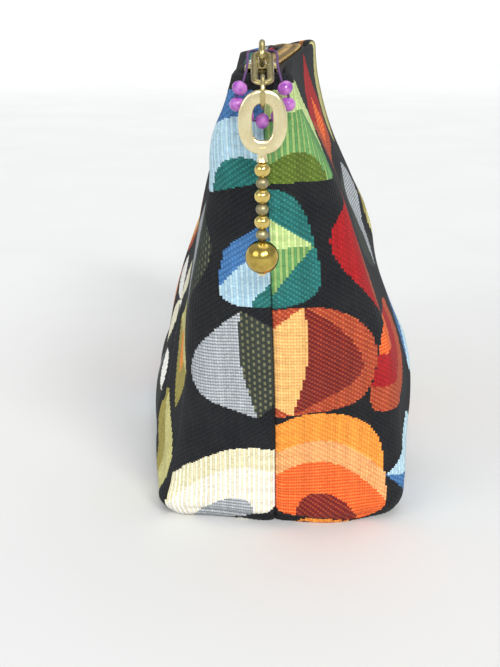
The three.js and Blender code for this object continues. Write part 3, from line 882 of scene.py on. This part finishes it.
# %% [markdown]
# ## The zip
# A metal zip lies along the ridge. Its line bows with the bag, so each piece is placed by its distance along.
# A tape's outer edge turns down behind the lip, where it is sewn, and past the teeth the two tapes draw
# together. Teeth could be an array modifier on a curve. Here each is set on the line in turn, because the two
# rows have to mesh, a tooth of one in the gap of the other.

# %% Line of the zip
ZIP_RUN, ZIP_EASE = 90, 2
ZIP_END = (-5.5, 112.8)
ZIP_MID = (4.2, 116.4)


def zip_line(along):
    """Points on the zip's middle line, for distances along the purse."""
    share = swell(np.asarray(along, float), ZIP_RUN, ZIP_EASE)[:, None]
    return np.column_stack((along, np.array(ZIP_END) + np.subtract(ZIP_MID, ZIP_END) * share))


def zip_frames(along):
    """Middle line with its directions along, across towards the back, and up."""
    line = zip_line(along)
    ahead = unit(np.gradient(line, axis=0))
    across = unit(np.cross(UP, ahead))
    return line, ahead, across, np.cross(ahead, across)


print("the zip bows by", round(ZIP_MID[0] - ZIP_END[0], 1), "mm and rises by", RIDGE_RISE, "mm")

# %% Tapes
TAPE_HALF_LENGTH, TAPE_STEP = 92.2, 0.8
TAPE_DRAWN_FROM = 88
TAPE_DRAWN_REACH = (0.12, 3.1)
TAPE_DRAWN_DROP = 0.5
TAPE_SECTION = [(1.5, 0.3), (1.2, 0), (1.5, -0.3), (2.0, -0.42), (2.6, -0.3), (3.6, -0.32), (3.75, -1.8),
                (4.05, -1.9), (4.1, -0.2), (3.9, 0.22), (3.4, 0.3), (2.6, 0.3), (2.0, 0.42)]
TAPE_YARNS = (0.9, 1.8)


def zip_tape(name, side):
    along = np.linspace(-TAPE_HALF_LENGTH, TAPE_HALF_LENGTH, round(2 * TAPE_HALF_LENGTH / TAPE_STEP))
    line, _, across, up = zip_frames(along)
    reach, height = np.array(TAPE_SECTION).T
    drawn_reach = np.interp(reach, (reach.min(), reach.max()), TAPE_DRAWN_REACH)
    drawn = np.clip((np.abs(along) - TAPE_DRAWN_FROM) / (TAPE_HALF_LENGTH - TAPE_DRAWN_FROM), 0, 1)[:, None]
    reach = reach + (drawn_reach - reach) * eased(drawn)
    height = height - TAPE_DRAWN_DROP * drawn * drawn
    points = line[:, None] + side * across[:, None] * reach[..., None] + up[:, None] * height[..., None]
    size = len(along), len(TAPE_SECTION)
    tape = mesh_piece(name, points.reshape(-1, 3), tube_faces(*size, flip=side < 0))
    count_map(tape, grid_faces(*size, wrap_columns=True, flip=side < 0)[1] * TAPE_YARNS)
    return tape


for label, side in FACING.items():
    name = "zip_tape_" + label
    dress(zip_tape(name, side), "bag", "zip_tape", tape_cloth, name)

# %% Teeth
TOOTH_PITCH = 3
TEETH_START, TEETH_STOP = -87, 78
TOOTH_CREASE = 40
# A tooth's sections: reach from the zip's line, half width and half height.
TOOTH_SECTIONS = [
    (-0.75, 0.30, 0.45), (-0.62, 0.46, 0.72), (-0.2, 0.60, 0.92), (0.35, 0.56, 0.98), (0.8, 0.68, 1.12),
    (1.9, 0.72, 1.2), (2.35, 0.66, 1.1), (2.5, 0.5, 0.85),
]
ROUNDED_BAR = [(1, 0.55), (0.72, 1), (-0.72, 1), (-1, 0.55),
               (-1, -0.55), (-0.72, -1), (0.72, -1), (1, -0.55)]


def tooth_row(name, side):
    """One row of teeth: each is lofted from its nose, past the middle, to its clamp on the tape."""
    first = TEETH_START + (TOOTH_PITCH / 2 if side > 0 else 0)
    faces = tube_faces(len(TOOTH_SECTIONS), len(ROUNDED_BAR), flip=side > 0)
    teeth = []
    for middle, ahead, across, up in zip(*zip_frames(np.arange(first, TEETH_STOP, TOOTH_PITCH))):
        points = [middle + side * across * reach + ahead * wide * a + up * tall * b
                  for reach, wide, tall in TOOTH_SECTIONS for a, b in ROUNDED_BAR]
        teeth.append((points, faces))
    print(name, "has", len(teeth), "teeth")
    return mesh_piece(name, *joined(*teeth), sharp=TOOTH_CREASE)


# The teeth's brass is darkened both by age and as painted shade.
for label, side in FACING.items():
    name = "zip_teeth_" + label
    dress(tooth_row(name, side), "bag", "brass", metals["aged_and_shaded_brass"], name)

# %% [markdown]
# ## The slider
# Two plates ride above and below the tapes, joined by a post, with edges rolled towards each other to hold
# the teeth. An arched bail carries the pull. Cast metal has no sharp edges. A bevel modifier could round
# them, but a plate is only rings of one outline, and a little smaller ones at its faces give the bevel.

# %% Slider with its bail
TO_BACK = np.array((0, 1, 0))
SLIDER_REAR, SLIDER_FRONT = 79.5, 90
SLIDER_REAR_HALF, SLIDER_FRONT_HALF = 2.9, 3.7
SLIDER_CORNER, CORNER_STEPS = 1.6, 6
PLATE_THICK, PLATE_BEVEL, PLATE_CREASE = 1.3, 0.35, 35
TAPE_CLEAR = 0.8
RIM_RADIUS, RIM_SIDES, RIM_STEPS = 0.42, 10, 8
# A rim stops short of the plate's corners and lies a little inside its edge.
RIM_ENDS = [(SLIDER_REAR + 1, SLIDER_REAR_HALF - 0.35), (SLIDER_FRONT - 1.6, SLIDER_FRONT_HALF - 0.4)]
POST_LENGTH, POST_WIDTH, POST_CORNER, POST_BEVEL = 5, 2, 0.5, 0.1
BAIL_WIRE, BAIL_SIDES, BAIL_STEPS = 0.7, 14, 8
BAIL_ROUTE = [(81, 114.4), (81.8, 117.6), (84.6, 118.9), (88, 118.8), (89.9, 117), (89.4, 114.4)]


def four_corners(rear, front, rear_half, front_half, y):
    return [(rear, y - rear_half), (front, y - front_half), (front, y + front_half), (rear, y + rear_half)]


def oblong(middle, length, width, y):
    return four_corners(middle - length / 2, middle + length / 2, width / 2, width / 2, y)


def rounded_outline(corners, radius):
    """A polygon with its corners rounded."""
    corners = np.array(corners, float)
    start, finish = (corners + unit(np.roll(corners, turn, axis=0) - corners) * radius for turn in (1, -1))
    share = np.linspace(0, 1, CORNER_STEPS)[:, None, None]
    points = (1 - share) ** 2 * start + 2 * share * (1 - share) * corners + share ** 2 * finish
    return points.swapaxes(0, 1).reshape(-1, 2)


def bevelled_plate(corners, radius, low, high, bevel):
    """A plate with rounded corners and bevelled rims."""
    outline = rounded_outline(corners, radius)
    centre = outline.mean(axis=0)
    inset = centre + (outline - centre) * (1 - bevel / np.abs(outline - centre).max(axis=0))
    rings = [(inset, low), (outline, low + bevel), (outline, high - bevel), (inset, high)]
    points = np.vstack([np.column_stack((ring, np.full(len(ring), level))) for ring, level in rings])
    return points, tube_faces(len(rings), len(outline))


def slider():
    y, z = ZIP_END
    plan = four_corners(SLIDER_REAR, SLIDER_FRONT, SLIDER_REAR_HALF, SLIDER_FRONT_HALF, y)
    top, foot = z + TAPE_CLEAR, z - TAPE_CLEAR - PLATE_THICK
    parts = [bevelled_plate(plan, SLIDER_CORNER, low, low + PLATE_THICK, PLATE_BEVEL) for low in (top, foot)]
    post = oblong((SLIDER_REAR + SLIDER_FRONT) / 2, POST_LENGTH, POST_WIDTH, y)
    half_plate = PLATE_THICK / 2
    parts.append(bevelled_plate(post, POST_CORNER, foot + half_plate, top + half_plate, POST_BEVEL))
    for side in FACING.values():
        for level in (top, foot + PLATE_THICK):
            rim = np.linspace(*((along, y + side * half, level) for along, half in RIM_ENDS), RIM_STEPS)
            parts.append(swept(rim, circle(RIM_RADIUS, RIM_SIDES), UP))
    arch = smooth_route([(along, y, height) for along, height in BAIL_ROUTE], BAIL_STEPS)
    parts.append(swept(arch, circle(BAIL_WIRE, BAIL_SIDES), TO_BACK))
    return mesh_piece("zip_slider", *joined(*parts), sharp=PLATE_CREASE)


dress(slider(), "bag", "brass", metals["worn_brass"], "zip_slider")

# %% Stop at the far end of the zip
STOP_LENGTH, STOP_WIDTH, STOP_RISE, STOP_CORNER = 2.2, 5.6, 1.15, 0.6
STOP_GAP = 2.1
STOP_AT = TEETH_START - STOP_GAP


def zip_stop():
    _, y, z = zip_line([STOP_AT])[0]
    plan = oblong(STOP_AT, STOP_LENGTH, STOP_WIDTH, y)
    plate = bevelled_plate(plan, STOP_CORNER, z - STOP_RISE, z + STOP_RISE, PLATE_BEVEL)
    return mesh_piece("zip_stop", *plate, sharp=PLATE_CREASE)


dress(zip_stop(), "bag", "brass", metals["aged_and_shaded_brass"])

# %% [markdown]
# ## The pull
# A wire link hangs in the bail and a small ring in the link, and the oval ring of the drop swings on that.
# The oval ring is a band between two ovals, squarer inside than outside, so its hole is a rounded slot. It
# could be an extruded outline, but a rounded band catches the light at its edges as polished metal does.

# %% Link and jump ring
PULL_X, PULL_Y, PIVOT_Z = 100.5, -5.5, 109
RING_BAR = 2.5
HANG_GAP = 0.3
JUMP_INNER, JUMP_WIRE, JUMP_STEPS, JUMP_SIDES = 2.5, 0.45, 48, 12
JUMP_Z = PIVOT_Z - RING_BAR / 2 - HANG_GAP + JUMP_INNER
LINK_WIRE, LINK_HALF, LINK_FLAT, LINK_STEPS, LINK_SIDES = 0.5, 1.6, 1.45, 64, 16
LINK_TOP = (88, 116.9)
LINK_FOOT = (PULL_X, JUMP_Z + JUMP_INNER - HANG_GAP - LINK_WIRE)


def puller_link():
    top, foot = (np.array((along, PULL_Y, height)) for along, height in (LINK_TOP, LINK_FOOT))
    run = foot - top
    plan = circle(LINK_HALF, LINK_STEPS)
    plan[:, 0] += np.sign(plan[:, 0]) * (np.linalg.norm(run) / 2 - LINK_HALF)
    route = (top + foot) / 2 + plan[:, :1] * unit(run) + plan[:, 1:] * TO_BACK
    section = circle(LINK_WIRE, LINK_SIDES) * (LINK_FLAT, 1)
    return mesh_piece("puller_link", *swept(route, section, np.cross(run, TO_BACK), closed=True))


def jump_ring():
    x, z = circle(JUMP_INNER + JUMP_WIRE, JUMP_STEPS).T
    route = np.column_stack((PULL_X + x, np.full(JUMP_STEPS, PULL_Y), JUMP_Z + z))
    return mesh_piece("jump_ring", *swept(route, circle(JUMP_WIRE, JUMP_SIDES), TO_BACK, closed=True))


dress(puller_link(), "bag", "brass", metals["worn_brass"], "puller_link")
dress(jump_ring(), "bag", "brass", metals["worn_brass"], "jump_ring")

# %% Oval ring with its neck and pin
RING_HEIGHT, RING_WIDTH, RING_THICK = 12.4, 9.5, 1.6
RING_LAP = 0.15
RING_SQUARE, HOLE_SQUARE, BAND_SQUARE = 2.3, 2.9, 4
RING_STEPS, BAND_SIDES, RING_CREASE = 96, 28, 50
NECK_RADIUS, NECK_WAIST, NECK_FOOT_Z = 1.2, 0.95, 96.1
NECK_INSET, NECK_BEVEL = 0.12, 0.14
NECK_SHARES = np.linspace(0.1, 1, 12)
PIN_RADIUS, PIN_SIDES = 0.45, 32
PIN_HEAD = [(0.1, 0), (0.5, 0.06), (0.82, 0.22), (0.9, 0.4), (0.85, 0.6), (PIN_RADIUS, 0.62)]
PIN_HEAD_THICK = 0.6
STEM_GAP = 0.1
BRIGHT_BEAD, DULL_BEAD, BALL = (1.65, 2.9), (1.35, 2.2), (3.5, 6.9)
STEM = [BRIGHT_BEAD, DULL_BEAD] * 3 + [BALL]
BALL_FOOT = NECK_FOOT_Z - sum(height + STEM_GAP for _, height in STEM)


def squared(points, power):
    """Unit circle points pushed out towards a square, the more the higher the power."""
    return np.sign(points) * np.abs(points) ** (2 / power)


def oval(half_width, half_height, power):
    middle = np.array((PULL_X, PULL_Y, PIVOT_Z - (RING_HEIGHT - RING_BAR) / 2))
    points = squared(circle(1, RING_STEPS), power) * (half_width, half_height)
    return middle + np.column_stack((np.zeros(RING_STEPS), points))


def oval_ring():
    half_width, half_height = RING_WIDTH / 2 + RING_LAP, RING_HEIGHT / 2 + RING_LAP
    bar = RING_BAR + 2 * RING_LAP
    outer = oval(half_width, half_height, RING_SQUARE)
    hole = oval(half_width - bar, half_height - bar, HOLE_SQUARE)
    section = squared(circle(1, BAND_SIDES), BAND_SQUARE)
    band = ((outer + hole)[:, None] + (outer - hole)[:, None] * section[:, :1]) / 2
    band = band + np.array((RING_THICK / 2, 0, 0)) * section[:, 1:]
    ring = band.reshape(-1, 3), grid_faces(RING_STEPS, BAND_SIDES, True, True, flip=True)[0]

    neck_low, neck_top = NECK_FOOT_Z + NECK_BEVEL, PIVOT_Z - RING_HEIGHT + RING_BAR
    profile = [(radius, BALL_FOOT - PIN_HEAD_THICK + height) for radius, height in PIN_HEAD]
    profile += [(PIN_RADIUS, NECK_FOOT_Z), (NECK_RADIUS - NECK_INSET, NECK_FOOT_Z), (NECK_RADIUS, neck_low)]
    for share in NECK_SHARES:
        waist = NECK_WAIST + (NECK_RADIUS - NECK_WAIST) * (2 * share - 1) ** 2
        profile.append((waist, neck_low + (neck_top - neck_low) * share))
    points, faces = turned(profile, PIN_SIDES)
    pin = points + np.array((PULL_X, PULL_Y, 0)), faces
    return mesh_piece("oval_ring", *joined(ring, pin), sharp=RING_CREASE)


dress(oval_ring(), "pendant", "gold_plate", metals["gold_plate"], "oval_ring")

# %% [markdown]
# ## Beads
# A bead is an oval with a hole through it and a small round rim where the drill came out. A sphere would do
# from far off, but the rim and the hole tell a bead from a ball. One function turns them all.

# %% Drilled beads on the stem
BEAD_SIDES, BEAD_STEPS = 36, 22
BEAD_RIM, RIM_TURN = 0.08, 0.024
PIN_CLEAR = 0.12
STEM_BORE = PIN_RADIUS + PIN_CLEAR
STEM_FINISHES = {
    BRIGHT_BEAD: ("gold_plate", metals["bead_gold"]),
    DULL_BEAD: ("dull_brass", metals["dull_brass"]),
    BALL: ("gold_plate", metals["ball_brass_painted_dark"]),
}


def drilled_bead(radius, height, bore):
    """Points and faces of a bead about Z, its outside an oval that rounds into the bore."""
    tip = math.asin((bore + BEAD_RIM) / radius)
    angle = np.linspace(tip, math.pi - tip, BEAD_STEPS)
    outside = np.column_stack((radius * np.sin(angle), -height / 2 * np.cos(angle) / math.cos(tip)))
    rims = [(bore, BEAD_RIM - height / 2), (bore + RIM_TURN, RIM_TURN - height / 2)]
    upper = [(across, -level) for across, level in reversed(rims)]
    return turned(np.vstack((rims, outside, upper)), BEAD_SIDES, bored=True)


top = NECK_FOOT_Z - STEM_GAP
for index, size in enumerate(STEM, start=1):
    name = "drop_ball" if size is BALL else f"stem_bead_{index}"
    points, faces = drilled_bead(*size, STEM_BORE)
    bead = mesh_piece(name, points + np.array((PULL_X, PULL_Y, top - size[1] / 2)), faces)
    dress(bead, "pendant", *STEM_FINISHES[size], name)
    top -= size[1] + STEM_GAP

# %% [markdown]
# The glass beads hang on a thread that goes through the bail and comes down round the drop on both sides.
# Half its route is a short list of points, mirrored. Each bead sits where its node is, along the thread.

# %% Glass beads on their thread
LOOP_ROUTE = [(86.2, 0, 117.2), (86.8, 1.6, 117.4), (88.8, 2.7, 117.3), (92.6, 3, 116.4), (96, 3.1, 114.6),
              (97.4, 3.9, 111.7), (97.5, 5.2, 109), (97.3, 4.9, 106.4), (97.1, 2.8, 104.5), (97, 0, 103.9)]
LOOP_STEPS = 10
LOOP_FACING = (13.3, 0, 10.8)
THREAD_RADIUS, THREAD_SIDES, THREAD_YARNS = 0.25, 10, (0.2, 1.5)
GLASS_RADIUS, GLASS_HEIGHT, GLASS_BORE = 1.6, 2.7, 0.45
GLASS_BEADS = 7


def loop_route():
    down = [(along, PULL_Y + across, height) for along, across, height in LOOP_ROUTE]
    up = [(along, PULL_Y - across, height) for along, across, height in LOOP_ROUTE[-2:0:-1]]
    return smooth_route(down + up, LOOP_STEPS, closed=True)


def bead_thread(route):
    section = circle(THREAD_RADIUS, THREAD_SIDES)
    thread = mesh_piece("bead_thread", *swept(route, section, LOOP_FACING, closed=True))
    count_map(thread, grid_faces(len(route), THREAD_SIDES, True, True)[1] * THREAD_YARNS)
    return thread


def glass_bead(name, route):
    middle = sum(np.array(corner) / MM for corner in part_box(name)) / 2
    nearest = int(np.argmin(np.linalg.norm(route - middle, axis=1)))
    along = Vector(route[(nearest + 1) % len(route)] - route[nearest - 1])
    turn = np.array(Vector(UP).rotation_difference(along).to_matrix())
    points, faces = drilled_bead(GLASS_RADIUS, GLASS_HEIGHT, GLASS_BORE)
    return mesh_piece(name, points @ turn.T + middle, faces)


route = loop_route()
dress(bead_thread(route), "bag", "thread", bead_cord, "bead_thread")
for index in range(1, GLASS_BEADS + 1):
    name = f"glass_bead_{index}"
    dress(glass_bead(name, route), "bag", "purple_glass", purple_glass, name)

# %% [markdown]
# ## Floor and light
# A pale sheet that curves up all round is the floor, so that no horizon shows. The photograph was lit from
# the right of the camera, so the key light stands there, and one close to the camera puts a glint in each
# bead. One opens the shadows on the left and one above rounds the top. Area lamps would leave a bright pool
# on the floor, and suns with a wide angle are as soft and light it all alike.

# %% Studio floor
FLOOR_FLAT, FLOOR_CURVE, FLOOR_SLOPE = 1600, 1500, 60
FLOOR_DROP = 0.1
FLOOR_RINGS = (1, 200, 600, 1000)
FLOOR_STEPS, FLOOR_SIDES = 24, 96
PAPER_NOISE, PAPER_ROUGHNESS = (9, 3), 0.9
PAPER_SHADES = linear(212, 212, 210), linear(221, 221, 219)


def studio_floor():
    profile = [(radius, -FLOOR_DROP) for radius in FLOOR_RINGS]
    for turn in np.linspace(0, math.radians(FLOOR_SLOPE), FLOOR_STEPS):
        rise = FLOOR_CURVE * (1 - math.cos(turn))
        profile.append((FLOOR_FLAT + FLOOR_CURVE * math.sin(turn), rise - FLOOR_DROP))
    points, faces = turned(profile, FLOOR_SIDES)
    floor = mesh_piece("studio_floor", points, [face[::-1] for face in faces[:-1]])
    material, tree, shader = new_material("pale_paper")
    paper = mixed(tree, noise(tree, *PAPER_NOISE), *PAPER_SHADES)
    wire(tree, shader, {"Base Color": paper, "Roughness": PAPER_ROUGHNESS})
    floor.data.materials.append(material)
    return floor


print("floor:", studio_floor().name)

# %% Lights
# A sun: where it shines from, the angle that softens it and its strength.
SUNS = {
    "key_light": ((620, 330, 470), 16, 1.3),
    "front_light": ((420, 40, 230), 13, 1.5),
    "fill_light": ((450, -560, 300), 40, 0.9),
    "top_light": ((-100, 100, 900), 50, 0.8),
}
AIR = {"Color": (0.92, 0.95, 1, 1), "Strength": 0.5}

for name, (place, softness, strength) in SUNS.items():
    lamp = bpy.data.lights.new(name, "SUN")
    lamp.angle = math.radians(softness)
    lamp.energy = strength
    light = bpy.data.objects.new(name, lamp)
    light.rotation_euler = (-Vector(place)).to_track_quat("-Z", "Y").to_euler()
    scene.collection.objects.link(light)
    print(name, "from", place, "gives", strength, "W/m2")
world = bpy.data.worlds.new("studio_air")
world.use_nodes = True
wire(world.node_tree, world.node_tree.nodes["Background"], AIR)
scene.world = world
scene.view_settings.view_transform = "Standard"
